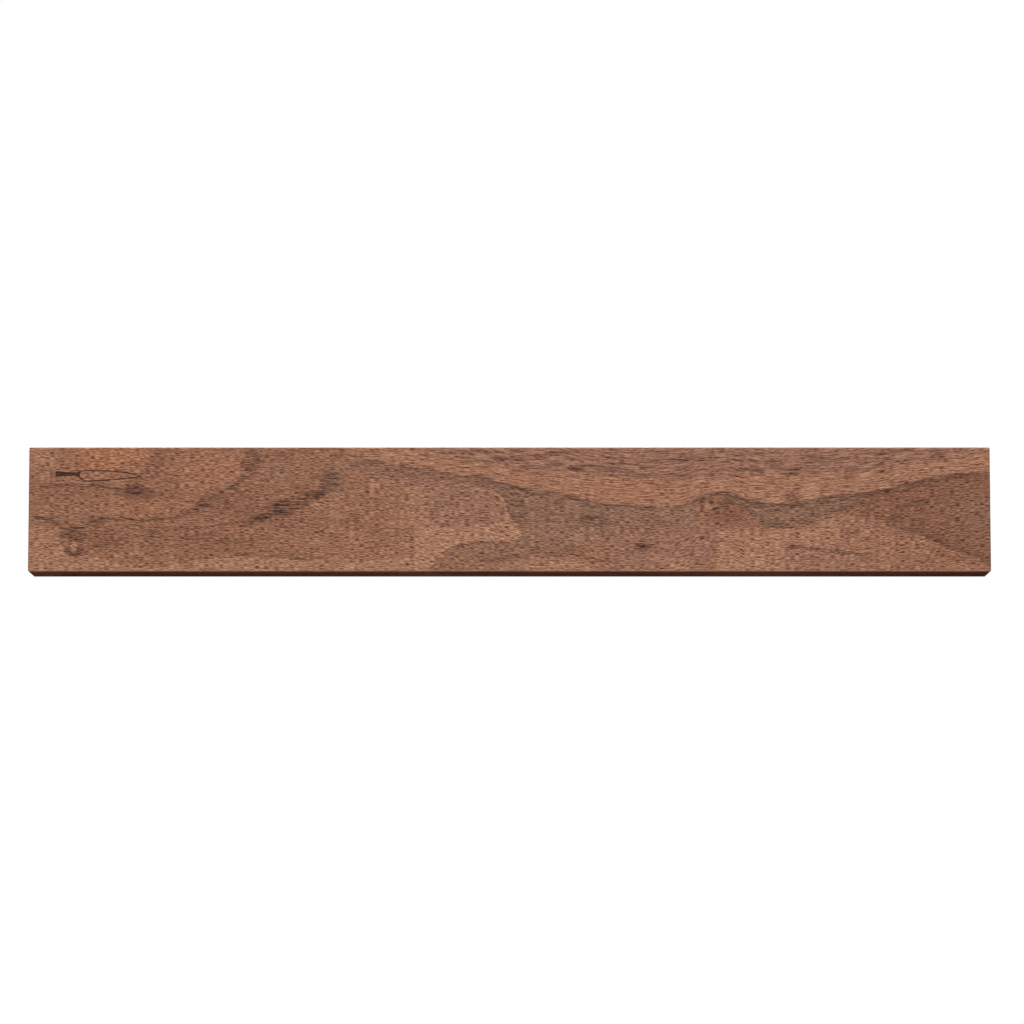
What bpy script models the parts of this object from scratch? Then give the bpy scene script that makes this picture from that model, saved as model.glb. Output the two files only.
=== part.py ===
"""Wall-hung wooden knife bar with a hidden magnet pack.

The bar is a walnut board, milled out from behind down to a thin front wall. The channel holds two rows
of block magnets in a plastic spacer, with a steel keeper strip behind them that closes the magnetic
circuit. A rebated rear cover fills the rest of the channel, clamps the pack against the front wall and
is held by countersunk wood screws. Two steel keyhole plates in the cover hang the bar on the wall.

Frame: metres, +X along the bar, +Y into the wall, +Z up. The origin is the centre of the back face,
on the wall plane, so the knives hang on the face that looks along -Y.
"""

import math

import bmesh
import bpy
from mathutils import Vector

# --- driving dimensions -------------------------------------------------------------------------
LENGTH = 0.500
HEIGHT = 0.065
DEPTH = 0.028
EDGE_EASE = 0.0008
GAP = 0.0003

FRONT_WALL = 0.0025
CHANNEL_LENGTH = 0.450
CHANNEL_HEIGHT = 0.037
CHANNEL_CORNER = 0.004
REBATE_LENGTH = 0.472
REBATE_HEIGHT = 0.055
REBATE_DEPTH = 0.0055
REBATE_CORNER = 0.006

MAGNET_SIZE = Vector((0.030, 0.005, 0.015))
MAGNET_COLUMNS = 12
MAGNET_PITCH = 0.0365
MAGNET_ROW_OFFSET = 0.0093
MAGNET_EASE = 0.0004
KEEPER_THICKNESS = 0.002

HANGER_SPACING = 0.400
HANGER_WIDTH = 0.016
HANGER_HEIGHT = 0.038
HANGER_THICKNESS = 0.0016
HANGER_CORNER = 0.003
KEYHOLE_ENTRY_RADIUS = 0.005
KEYHOLE_ENTRY_Z = -0.0045
KEYHOLE_SLOT_WIDTH = 0.005
KEYHOLE_SLOT_TOP = 0.0075
POCKET_WIDTH = 0.0125
POCKET_HEIGHT = 0.0215
POCKET_DEPTH = 0.0078
POCKET_CORNER = 0.006
HANGER_SCREW_Z = 0.0145

COVER_SCREW_COLUMNS = 4
COVER_SCREW_PITCH = 0.110
COVER_SCREW_Z = 0.0227
COVER_END_SCREW_X = 0.2304

ARC_STEPS = 6
SCREW_SIDES = 24
STAR_LOBES = 6
STAR_POINTS = 24
STAR_DIP = 0.14
SMOOTH_BELOW = math.radians(40.0)

# --- places along the depth, from the wall plane at 0 to the front face at -DEPTH ----------------
FRONT_Y = -DEPTH
CHANNEL_FLOOR_Y = FRONT_Y + FRONT_WALL
MAGNET_FRONT_Y = CHANNEL_FLOOR_Y + GAP
MAGNET_BACK_Y = MAGNET_FRONT_Y + MAGNET_SIZE.y
KEEPER_FRONT_Y = MAGNET_BACK_Y + GAP
KEEPER_BACK_Y = KEEPER_FRONT_Y + KEEPER_THICKNESS
CORE_FRONT_Y = KEEPER_BACK_Y + GAP
LIP_FRONT_Y = -REBATE_DEPTH + GAP
PLATE_SEAT_Y = -HANGER_THICKNESS - GAP
CUT_MARGIN = 0.002


class ScrewSize:
    """Sizes of one countersunk screw; its flat head lies in the plane where it is placed."""

    def __init__(self, head_radius, shank_radius, length, drive_radius, drive_depth):
        self.head_radius = head_radius
        self.shank_radius = shank_radius
        self.length = length
        self.head_height = head_radius - shank_radius
        self.tip_height = 2 * shank_radius
        self.drive_radius = drive_radius
        self.drive_depth = drive_depth


COVER_SCREW = ScrewSize(0.0034, 0.0015, 0.0145, 0.0017, 0.0014)
HANGER_SCREW = ScrewSize(0.0028, 0.0013, 0.0120, 0.0013, 0.0011)
HEAD_RIM = 0.0003


# --- materials ----------------------------------------------------------------------------------
def material(name, colour, roughness, metallic=0.0):
    made = bpy.data.materials.new(name)
    made.use_nodes = True
    shader = made.node_tree.nodes["Principled BSDF"]
    shader.inputs["Base Color"].default_value = (*colour, 1.0)
    shader.inputs["Roughness"].default_value = roughness
    shader.inputs["Metallic"].default_value = metallic
    return made


# --- shapes -------------------------------------------------------------------------------------
def mesh_of(name, shape, finish=None):
    """Turns a bmesh into a mesh with outward normals."""
    bmesh.ops.recalc_face_normals(shape, faces=shape.faces)
    mesh = bpy.data.meshes.new(name)
    shape.to_mesh(mesh)
    shape.free()
    if finish:
        mesh.materials.append(finish)
    return mesh


def put(name, mesh, place=(0.0, 0.0, 0.0)):
    """Links a new object that shows the mesh at that place."""
    made = bpy.data.objects.new(name, mesh)
    made.location = place
    bpy.context.scene.collection.objects.link(made)
    return made


def object_of(name, shape, finish=None, place=(0.0, 0.0, 0.0)):
    return put(name, mesh_of(name, shape, finish), place)


def extrude_outline(outline, front_y, back_y):
    """A prism: an (x, z) outline, drawn in the plane of the wall, pushed from front_y to back_y."""
    shape = bmesh.new()
    rim = [shape.verts.new((x, front_y, z)) for x, z in outline]
    face = shape.faces.new(rim)
    pushed = bmesh.ops.extrude_face_region(shape, geom=[face])["geom"]
    moving = [v for v in pushed if isinstance(v, bmesh.types.BMVert)]
    bmesh.ops.translate(shape, verts=moving, vec=(0.0, back_y - front_y, 0.0))
    return shape


def rounded_rectangle(width, height, radius):
    """Outline of a rectangle round the origin with four round corners."""
    points = []
    for corner in range(4):
        start = corner * math.pi / 2
        across = (width / 2 - radius) * (1 if corner in (0, 3) else -1)
        up = (height / 2 - radius) * (1 if corner in (0, 1) else -1)
        for step in range(ARC_STEPS + 1):
            turn = start + step * math.pi / 2 / ARC_STEPS
            points.append((across + radius * math.cos(turn), up + radius * math.sin(turn)))
    return points


def keyhole_outline(entry_radius, slot_width, slot_top, entry_z):
    """Round entry below, with a narrower slot that leaves it upwards and ends in a half circle."""
    half = slot_width / 2
    meet = math.acos(half / entry_radius)
    sweep = math.pi + 2 * meet
    entry_steps = 4 * ARC_STEPS
    points = []
    for step in range(entry_steps + 1):
        turn = math.pi - meet + step * sweep / entry_steps
        points.append((entry_radius * math.cos(turn), entry_z + entry_radius * math.sin(turn)))
    for step in range(2 * ARC_STEPS + 1):
        turn = step * math.pi / (2 * ARC_STEPS)
        points.append((half * math.cos(turn), slot_top - half + half * math.sin(turn)))
    return points


def star_outline(radius):
    """Soft lobes round a circle, the shape of a star drive socket."""
    points = []
    for step in range(STAR_POINTS):
        turn = step * 2 * math.pi / STAR_POINTS
        reach = radius * (1 - STAR_DIP + STAR_DIP * math.cos(STAR_LOBES * turn))
        points.append((reach * math.cos(turn), reach * math.sin(turn)))
    return points


def turn_profile(profile, sides):
    """A solid of revolution round the Y axis; the (radius, y) profile starts and ends on the axis."""
    shape = bmesh.new()
    points = [shape.verts.new((radius, y, 0.0)) for radius, y in profile]
    edges = [shape.edges.new(pair) for pair in zip(points, points[1:])]
    bmesh.ops.spin(
        shape,
        geom=points + edges,
        cent=(0.0, 0.0, 0.0),
        axis=(0.0, 1.0, 0.0),
        angle=2 * math.pi,
        steps=sides,
        use_merge=True,
    )
    bmesh.ops.remove_doubles(shape, verts=shape.verts, dist=1e-7)
    return shape


def screw_profile(size, clearance=0.0, above=0.0):
    """Half section of a countersunk screw, or of the hole for it when clearance is given."""
    head = size.head_radius + clearance
    shank = size.shank_radius + clearance
    return [
        (0.0, above),
        (head, above),
        (head, -HEAD_RIM),
        (shank, -HEAD_RIM - size.head_height),
        (shank, -size.length + size.tip_height),
        (0.0, -size.length - clearance),
    ]


# --- cutting and joining ------------------------------------------------------------------------
def helper(made):
    """Marks an object as a cutter: it shapes its neighbours and is no part of the bar."""
    made.hide_render = True
    made.display_type = "WIRE"
    return made


def boolean(target, other, operation):
    step = target.modifiers.new(f"{operation.lower()}_{other.name}", "BOOLEAN")
    step.operation = operation
    step.solver = "EXACT"
    step.object = other
    return target


def cut(target, cutter):
    return boolean(target, helper(cutter), "DIFFERENCE")


def ease_edges(target, width, segments):
    """Rounds the sharp edges of a shape."""
    step = target.modifiers.new("eased_edges", "BEVEL")
    step.width = width
    step.segments = segments
    step.limit_method = "ANGLE"
    return target


def join_shapes(shapes):
    """Several separate closed shapes as one mesh, for a cutter that makes many equal holes."""
    joined = bmesh.new()
    for shape in shapes:
        mesh = bpy.data.meshes.new("scratch")
        shape.to_mesh(mesh)
        shape.free()
        joined.from_mesh(mesh)
        bpy.data.meshes.remove(mesh)
    return joined


def block(size, place, ease=0.0):
    """A box with its centre at place, its edges eased where asked."""
    shape = bmesh.new()
    bmesh.ops.create_cube(shape, size=1.0)
    bmesh.ops.scale(shape, vec=size, verts=shape.verts)
    if ease:
        bmesh.ops.bevel(
            shape,
            geom=shape.edges[:],
            offset=ease,
            offset_type="OFFSET",
            segments=2,
            profile=0.5,
            affect="EDGES",
        )
    bmesh.ops.translate(shape, vec=place, verts=shape.verts)
    return shape


# --- places of what repeats ---------------------------------------------------------------------
def magnet_places():
    """(name, centre) of each magnet: two rows of equal columns, upper row first."""
    middle_y = MAGNET_FRONT_Y + MAGNET_SIZE.y / 2
    for row, z in (("upper", MAGNET_ROW_OFFSET), ("lower", -MAGNET_ROW_OFFSET)):
        for column in range(MAGNET_COLUMNS):
            x = (column - (MAGNET_COLUMNS - 1) / 2) * MAGNET_PITCH
            yield f"magnet_{row}_{column + 1:02d}", Vector((x, middle_y, z))


def cover_screw_places():
    """(name, head centre) of each wood screw that holds the rear cover: two rows, one at each end."""
    for row, z in (("top", COVER_SCREW_Z), ("bottom", -COVER_SCREW_Z)):
        for column in range(COVER_SCREW_COLUMNS):
            x = (column - (COVER_SCREW_COLUMNS - 1) / 2) * COVER_SCREW_PITCH
            yield f"cover_screw_{row}_{column + 1}", Vector((x, 0.0, z))
    yield "cover_screw_end_left", Vector((-COVER_END_SCREW_X, 0.0, 0.0))
    yield "cover_screw_end_right", Vector((COVER_END_SCREW_X, 0.0, 0.0))


def hanger_places():
    """(side, centre) of each keyhole plate."""
    yield "left", Vector((-HANGER_SPACING / 2, 0.0, 0.0))
    yield "right", Vector((HANGER_SPACING / 2, 0.0, 0.0))


def hanger_screw_places():
    """(name, head centre) of each screw that holds a keyhole plate."""
    for side, centre in hanger_places():
        yield f"hanger_screw_{side}_top", centre + Vector((0.0, 0.0, HANGER_SCREW_Z))
        yield f"hanger_screw_{side}_bottom", centre - Vector((0.0, 0.0, HANGER_SCREW_Z))


def placed(shape, place):
    bmesh.ops.translate(shape, verts=shape.verts, vec=place)
    return shape


def screw_hole_cutter(name, size, places):
    """Countersunk blind holes, a gap wider than the screws all round."""
    profile = screw_profile(size, clearance=GAP, above=CUT_MARGIN)
    holes = [placed(turn_profile(profile, SCREW_SIDES), place) for _, place in places]
    return object_of(name, join_shapes(holes))


# --- sub-parts ----------------------------------------------------------------------------------
def make_walnut_body(finish):
    """The board: eased outside, with a stopped channel and a wider rebate milled in from behind."""
    middle = Vector((0.0, -DEPTH / 2, 0.0))
    body = object_of("walnut_body", block(Vector((LENGTH, DEPTH, HEIGHT)), middle), finish)
    ease_edges(body, EDGE_EASE, segments=3)
    rebate = rounded_rectangle(REBATE_LENGTH, REBATE_HEIGHT, REBATE_CORNER)
    channel = rounded_rectangle(CHANNEL_LENGTH, CHANNEL_HEIGHT, CHANNEL_CORNER)
    cut(body, object_of("cut_rebate", extrude_outline(rebate, -REBATE_DEPTH, CUT_MARGIN)))
    cut(body, object_of("cut_channel", extrude_outline(channel, CHANNEL_FLOOR_Y, CUT_MARGIN)))
    cut(body, screw_hole_cutter("cut_body_pilots", COVER_SCREW, list(cover_screw_places())))
    return body


def make_rear_cover(finish):
    """One rebated board: a lip that seats in the rebate, and a core that presses on the keeper."""
    lip = rounded_rectangle(
        REBATE_LENGTH - 2 * GAP, REBATE_HEIGHT - 2 * GAP, REBATE_CORNER - GAP
    )
    core = rounded_rectangle(
        CHANNEL_LENGTH - 2 * GAP, CHANNEL_HEIGHT - 2 * GAP, CHANNEL_CORNER - GAP
    )
    cover = object_of("rear_cover", extrude_outline(lip, LIP_FRONT_Y, 0.0), finish)
    core_block = object_of("join_core", extrude_outline(core, CORE_FRONT_Y, LIP_FRONT_Y / 2))
    boolean(cover, helper(core_block), "UNION")
    seats = []
    pockets = []
    for _, centre in hanger_places():
        seat = rounded_rectangle(
            HANGER_WIDTH + 2 * GAP, HANGER_HEIGHT + 2 * GAP, HANGER_CORNER + GAP
        )
        pocket = rounded_rectangle(POCKET_WIDTH, POCKET_HEIGHT, POCKET_CORNER)
        seats.append(placed(extrude_outline(seat, PLATE_SEAT_Y, CUT_MARGIN), centre))
        pockets.append(placed(extrude_outline(pocket, -POCKET_DEPTH, CUT_MARGIN), centre))
    cut(cover, object_of("cut_plate_seats", join_shapes(seats)))
    cut(cover, object_of("cut_head_pockets", join_shapes(pockets)))
    cut(cover, screw_hole_cutter("cut_plate_pilots", HANGER_SCREW, list(hanger_screw_places())))
    cut(cover, screw_hole_cutter("cut_cover_holes", COVER_SCREW, list(cover_screw_places())))
    return cover


def make_magnets(finish):
    size = MAGNET_SIZE
    for name, centre in magnet_places():
        object_of(name, block(size, Vector(), MAGNET_EASE), finish, centre)


def make_magnet_spacer(finish):
    """Plastic strip with a window for each magnet, as thick as the magnets."""
    strip = rounded_rectangle(
        CHANNEL_LENGTH - 2 * GAP, CHANNEL_HEIGHT - 2 * GAP, CHANNEL_CORNER - GAP
    )
    outline = extrude_outline(strip, MAGNET_FRONT_Y, MAGNET_BACK_Y)
    spacer = object_of("magnet_spacer", outline, finish)
    window = MAGNET_SIZE + Vector((2 * GAP, 2 * CUT_MARGIN, 2 * GAP))
    windows = [block(window, centre) for _, centre in magnet_places()]
    return cut(spacer, object_of("cut_magnet_windows", join_shapes(windows)))


def make_keeper_strip(finish):
    """Soft steel strip behind both rows, which carries the flux from one row to the other."""
    strip = rounded_rectangle(
        CHANNEL_LENGTH - 2 * GAP, CHANNEL_HEIGHT - 2 * GAP, CHANNEL_CORNER - GAP
    )
    return object_of("keeper_strip", extrude_outline(strip, KEEPER_FRONT_Y, KEEPER_BACK_Y), finish)


def make_hangers(finish):
    """Keyhole plates: the wall screw's head enters the round hole and slides up into the slot."""
    for side, centre in hanger_places():
        outline = rounded_rectangle(HANGER_WIDTH, HANGER_HEIGHT, HANGER_CORNER)
        shape = extrude_outline(outline, -HANGER_THICKNESS, 0.0)
        plate = object_of(f"keyhole_plate_{side}", shape, finish, centre)
        keyhole = keyhole_outline(
            KEYHOLE_ENTRY_RADIUS, KEYHOLE_SLOT_WIDTH, KEYHOLE_SLOT_TOP, KEYHOLE_ENTRY_Z
        )
        hole = extrude_outline(keyhole, -HANGER_THICKNESS - CUT_MARGIN, CUT_MARGIN)
        cut(plate, object_of(f"cut_keyhole_{side}", hole, place=centre))
        own_screws = [entry for entry in hanger_screw_places() if f"_{side}_" in entry[0]]
        cut(plate, screw_hole_cutter(f"cut_plate_{side}_holes", HANGER_SCREW, own_screws))


def make_screws(label, size, places, finish):
    """Countersunk screws that share one turned mesh, each with a star drive socket in its head."""
    turned = mesh_of(f"{label}_screw", turn_profile(screw_profile(size), SCREW_SIDES), finish)
    turned.shade_smooth()
    turned.set_sharp_from_angle(angle=SMOOTH_BELOW)
    star = extrude_outline(star_outline(size.drive_radius), -size.drive_depth, CUT_MARGIN)
    socket = mesh_of(f"{label}_socket", star)
    for name, place in places:
        cut(put(name, turned, place), put(f"cut_drive_{name}", socket, place))


def main():
    for leftover in list(bpy.data.objects):
        bpy.data.objects.remove(leftover)
    walnut = material("walnut", (0.31, 0.155, 0.095), 0.55)
    rear_walnut = material("rear_walnut", (0.24, 0.12, 0.075), 0.6)
    nickel = material("nickel_plate", (0.62, 0.60, 0.56), 0.25, 1.0)
    zinc = material("zinc_plated_steel", (0.56, 0.57, 0.58), 0.35, 1.0)
    bare_steel = material("bright_steel", (0.42, 0.42, 0.43), 0.4, 1.0)
    black_plastic = material("black_plastic", (0.02, 0.02, 0.022), 0.5)
    make_walnut_body(walnut)
    make_rear_cover(rear_walnut)
    make_magnet_spacer(black_plastic)
    make_magnets(nickel)
    make_keeper_strip(bare_steel)
    make_hangers(zinc)
    make_screws("cover", COVER_SCREW, cover_screw_places(), zinc)
    make_screws("hanger", HANGER_SCREW, hanger_screw_places(), zinc)


main()
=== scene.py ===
# %% [markdown]
# # A walnut knife bar with a hidden magnet pack
#
# The real bar is one walnut board, half a metre long, oiled to a low satin. Knives cling to its front
# because block magnets sit just behind a thin wooden wall, in a channel milled from the back.
# The shapes are already built and packed, so this file is about surfaces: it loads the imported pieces,
# gives each one the finish that its maker would give it, and lights them softly.

import math

import bmesh
import bpy
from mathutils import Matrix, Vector


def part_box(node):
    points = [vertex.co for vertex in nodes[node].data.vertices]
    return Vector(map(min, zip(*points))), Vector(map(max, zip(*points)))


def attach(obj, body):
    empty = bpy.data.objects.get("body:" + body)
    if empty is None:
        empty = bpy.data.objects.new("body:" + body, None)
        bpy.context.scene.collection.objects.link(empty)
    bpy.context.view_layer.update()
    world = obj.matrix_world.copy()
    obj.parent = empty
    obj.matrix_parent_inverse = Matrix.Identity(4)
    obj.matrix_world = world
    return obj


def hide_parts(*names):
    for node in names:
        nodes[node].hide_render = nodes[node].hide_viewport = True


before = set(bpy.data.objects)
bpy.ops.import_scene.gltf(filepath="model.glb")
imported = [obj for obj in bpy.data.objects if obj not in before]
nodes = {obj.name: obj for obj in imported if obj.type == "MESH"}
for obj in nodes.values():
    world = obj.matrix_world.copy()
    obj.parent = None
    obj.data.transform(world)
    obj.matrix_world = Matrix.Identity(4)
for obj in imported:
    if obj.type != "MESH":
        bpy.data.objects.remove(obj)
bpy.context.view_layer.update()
print(len(nodes), "pieces loaded")

# %% [markdown]
# ## The board's own sizes
#
# Every place below is given in metres from the middle of the back face, with X along the bar, Y into
# the wall and Z up. The front of the board is at the lowest Y. Reading the sizes from the piece itself
# keeps the finish in step with the shape if the board is ever made longer or thicker.

# %% Measure the board
board_low, board_high = (Vector(corner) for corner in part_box("walnut_body"))
board_size = board_high - board_low
board_middle = (board_low + board_high) / 2
front_y = board_low.y
print("board", [round(side * 1000, 1) for side in board_size], "mm")

# %% [markdown]
# ## A short way to write shader nodes
#
# A shader made of many small sums is hard to read when each node takes four lines. The bench below adds
# a node, fills its inputs and hands back its output. A value that is a socket is wired, and any other
# value is typed into the input. Nothing about the look is decided here.

# %% Node bench
class Bench:
    """Adds nodes to one tree and wires them."""

    def __init__(self, tree):
        self.tree = tree

    def feed(self, socket, value):
        if isinstance(value, bpy.types.NodeSocket):
            self.tree.links.new(value, socket)
        else:
            socket.default_value = value

    def add(self, kind, settings=None, inputs=None):
        node = self.tree.nodes.new(kind)
        for name, value in (settings or {}).items():
            setattr(node, name, value)
        for key, value in (inputs or {}).items():
            self.feed(node.inputs[key], value)
        return node

    def math(self, operation, *values):
        node = self.add("ShaderNodeMath", {"operation": operation}, dict(enumerate(values)))
        return node.outputs[0]

    def vector(self, operation, *values):
        node = self.add("ShaderNodeVectorMath", {"operation": operation}, dict(enumerate(values)))
        return node.outputs["Value" if operation in ("LENGTH", "DOT_PRODUCT") else "Vector"]

    def join(self, x, y, z):
        return self.add("ShaderNodeCombineXYZ", inputs={0: x, 1: y, 2: z}).outputs[0]

    def split(self, vector):
        return self.add("ShaderNodeSeparateXYZ", inputs={0: vector}).outputs

    def between(self, value, low, high, start=0.0, end=1.0):
        """A smooth step: start at low, end at high. Low may be the larger, and then it falls. The
        step stays in its range by itself, and its own clamp would keep one more value alive in a
        shader that can hold only a few hundred."""
        inputs = {"Value": value, "From Min": low, "From Max": high, "To Min": start, "To Max": end}
        settings = {"interpolation_type": "SMOOTHSTEP", "clamp": False}
        return self.add("ShaderNodeMapRange", settings, inputs).outputs[0]

    def blend(self, factor, first, second, how="MIX"):
        """A colour between first and second. A Mix node holds sockets for every kind of value, and
        those of the colour kind are found by their identifiers."""
        node = self.add("ShaderNodeMix", {"data_type": "RGBA", "blend_type": how})
        sockets = {socket.identifier: socket for socket in [*node.inputs, *node.outputs]}
        self.feed(sockets["Factor_Float"], factor)
        self.feed(sockets["A_Color"], first)
        self.feed(sockets["B_Color"], second)
        return sockets["Result_Color"]

    def noise(self, vector, scale, detail=2.0, roughness=0.5):
        inputs = {"Vector": vector, "Scale": scale, "Detail": detail, "Roughness": roughness}
        return self.add("ShaderNodeTexNoise", inputs=inputs).outputs["Fac"]

    def use(self, group, inputs):
        return self.add("ShaderNodeGroup", {"node_tree": group}, inputs).outputs


def colour(red, green, blue):
    """A linear colour with full alpha."""
    return (red, green, blue, 1.0)


print("bench ready")

# %% [markdown]
# An effect that several finishes share is a node group with named inputs. The next helper makes an
# empty group and its sockets. The type of each input follows from its default: a number, a place or
# direction of three numbers, or a colour of four.

# %% Node group helper
SOCKET_OF_LENGTH = {3: "NodeSocketVector", 4: "NodeSocketColor"}


def new_group(name, inputs, outputs):
    """(bench, inputs, outputs) of a new group; outputs is a list of names of plain numbers."""
    group = bpy.data.node_groups.new(name, "ShaderNodeTree")
    for label, value in inputs.items():
        kind = "NodeSocketFloat" if isinstance(value, float) else SOCKET_OF_LENGTH[len(value)]
        socket = group.interface.new_socket(label, in_out="INPUT", socket_type=kind)
        socket.default_value = value
    for label in outputs:
        group.interface.new_socket(label, in_out="OUTPUT", socket_type="NodeSocketFloat")
    bench = Bench(group)
    entry = bench.add("NodeGroupInput").outputs
    leave = bench.add("NodeGroupOutput").inputs
    print("group", name, "takes", len(inputs), "values")
    return bench, entry, leave


# %% [markdown]
# ## Grain space
#
# A board is a slice of a tree, so its figure isn't painted on one face: it runs on round the corners.
# The rings lie at a slant in the thickness and curve a little. This group turns a place on the board
# into three grain directions. Along follows the fibres, Across climbs through the rings, and Depth goes
# into the board. Because Across grows with depth, a line on the front face continues on the underside
# and draws a slanted arc on the end of the board, as it does on real wood.

# %% Grain space group
grain_bench, entry, leave = new_group(
    "grain_space",
    {"Place": (0.0, 0.0, 0.0), "Front": 0.0, "Slant": 0.8, "Curve": 6.0, "Wander": 0.0015},
    ["Along", "Across", "Depth"],
)
g = grain_bench
x, y, z = g.split(entry["Place"])[:]
depth = g.math("SUBTRACT", y, entry["Front"])
bow = g.math("MULTIPLY", g.math("MULTIPLY", depth, depth), entry["Curve"])
rise = g.math("ADD", g.math("MULTIPLY", depth, entry["Slant"]), bow)
slow_place = g.join(g.math("MULTIPLY", x, 0.45), y, z)
sway = g.math("SUBTRACT", g.noise(slow_place, 60.0, 2.0), 0.5)
drift = g.math("MULTIPLY", sway, g.math("MULTIPLY", entry["Wander"], 4.0))
g.feed(leave["Along"], g.math("ADD", x, g.math("MULTIPLY", depth, 0.25)))
g.feed(leave["Across"], g.math("ADD", g.math("ADD", z, rise), drift))
g.feed(leave["Depth"], depth)
grain_space = grain_bench.tree

# %% [markdown]
# ## Grain round a knot
#
# Fibres part round a knot as water parts round a stone. The formula for that flow is short: the height
# above the knot's centre is scaled by 1 - R² / distance², and softened so that it never divides by
# zero. Fed with this bent height, straight streaks wrap round the knot.

# %% Knot group
knot_bench, entry, leave = new_group(
    "knot_flow",
    {"Along": 0.0, "Across": 0.0, "Centre": (0.0, 0.0, 0.0), "Radius": 0.004, "Stretch": 1.6},
    ["Bend"],
)
g = knot_bench
centre_x, _, centre_z = g.split(entry["Centre"])[:]
to_right = g.math("DIVIDE", g.math("SUBTRACT", entry["Along"], centre_x), entry["Stretch"])
upward = g.math("SUBTRACT", entry["Across"], centre_z)
reach = g.vector("LENGTH", g.join(to_right, 0.0, upward))
square = g.math("MULTIPLY", entry["Radius"], entry["Radius"])
parting = g.math("DIVIDE", square, g.math("ADD", g.math("MULTIPLY", reach, reach), square))
g.feed(leave["Bend"], g.math("MULTIPLY", g.math("MULTIPLY", upward, parting), -1.0))
knot_flow = knot_bench.tree

# %% [markdown]
# ## Pores
#
# Walnut is full of open pores: short dark dashes, a third of a millimetre wide and a few millimetres
# long. Cells of a Voronoi texture, stretched along the grain, give one dash each, with its size set by
# how close the cell's centre comes to the surface. On the end of the board the same stretched cells are
# cut across, and the dashes turn into dots.

# %% Pore group
pore_bench, entry, leave = new_group(
    "wood_pores",
    {
        "Along": 0.0,
        "Across": 0.0,
        "Depth": 0.0,
        "Cell Length": 0.004,
        "Cell Width": 0.0007,
        "Size": 0.34,
    },
    ["Pores"],
)
g = pore_bench
cell = g.join(
    g.math("DIVIDE", entry["Along"], entry["Cell Length"]),
    g.math("DIVIDE", entry["Depth"], entry["Cell Width"]),
    g.math("DIVIDE", entry["Across"], entry["Cell Width"]),
)
voronoi = g.add("ShaderNodeTexVoronoi", {"feature": "F1"}, {"Vector": cell, "Scale": 1.0})
near = voronoi.outputs["Distance"]
g.feed(leave["Pores"], g.between(near, g.math("MULTIPLY", entry["Size"], 0.4), entry["Size"], 1.0, 0.0))
wood_pores = pore_bench.tree

# %% [markdown]
# ## Fibres
#
# Between the pores run fibres, each thinner than a pencil line and many times as long as it is high. One
# noise texture draws them: the three grain directions are divided by the fibre's own length and width,
# so one step of the noise is one fibre. The group is placed twice in each wooden material, once for
# short fibres and once for long ones.

# %% Fibre group
fibre_bench, entry, leave = new_group(
    "wood_fibres",
    {"Along": 0.0, "Across": 0.0, "Depth": 0.0, "Fibre Length": 0.004, "Fibre Width": 0.0004},
    ["Fibres"],
)
g = fibre_bench
step = g.join(
    g.math("DIVIDE", entry["Along"], entry["Fibre Length"]),
    g.math("DIVIDE", entry["Depth"], entry["Fibre Width"]),
    g.math("DIVIDE", entry["Across"], entry["Fibre Width"]),
)
g.feed(leave["Fibres"], g.between(g.noise(step, 1.0, 0.0, 0.5), 0.32, 0.68))
wood_fibres = fibre_bench.tree

# %% [markdown]
# ## Distance to the nearest edge
#
# Edges are sanded round, and the painted highlight along them needs to know how far a spot
# is from an edge. On a box the three distances to its faces tell it: on a face the smallest is zero, and
# the middle one is the distance to the nearest edge. Sorting three numbers needs only minimum and
# maximum nodes.

# %% Edge distance group
edge_bench, entry, leave = new_group(
    "edge_distance",
    {"Place": (0.0, 0.0, 0.0), "Middle": (0.0, 0.0, 0.0), "Size": (1.0, 1.0, 1.0)},
    ["Distance"],
)
g = edge_bench
off_middle = g.vector("ABSOLUTE", g.vector("SUBTRACT", entry["Place"], entry["Middle"]))
half = g.vector("MULTIPLY", entry["Size"], (0.5, 0.5, 0.5))
a, b, c = g.split(g.vector("SUBTRACT", half, off_middle))[:]
lowest_pair = g.math("MINIMUM", a, b)
highest_pair = g.math("MAXIMUM", a, b)
g.feed(leave["Distance"], g.math("MAXIMUM", lowest_pair, g.math("MINIMUM", highest_pair, c)))
edge_distance = edge_bench.tree

# %% [markdown]
# ## The figure of this board
#
# The groups are the tools, and the next lists are the board. First come the ring edges, the lines that
# a maker would trace with a pencil. Each is a height that rises and dips along the board, with a point
# wherever it turns. Lengths are in millimetres from the middle of the front face, along and up, because
# that is how a person reads them off a ruler.

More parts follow.
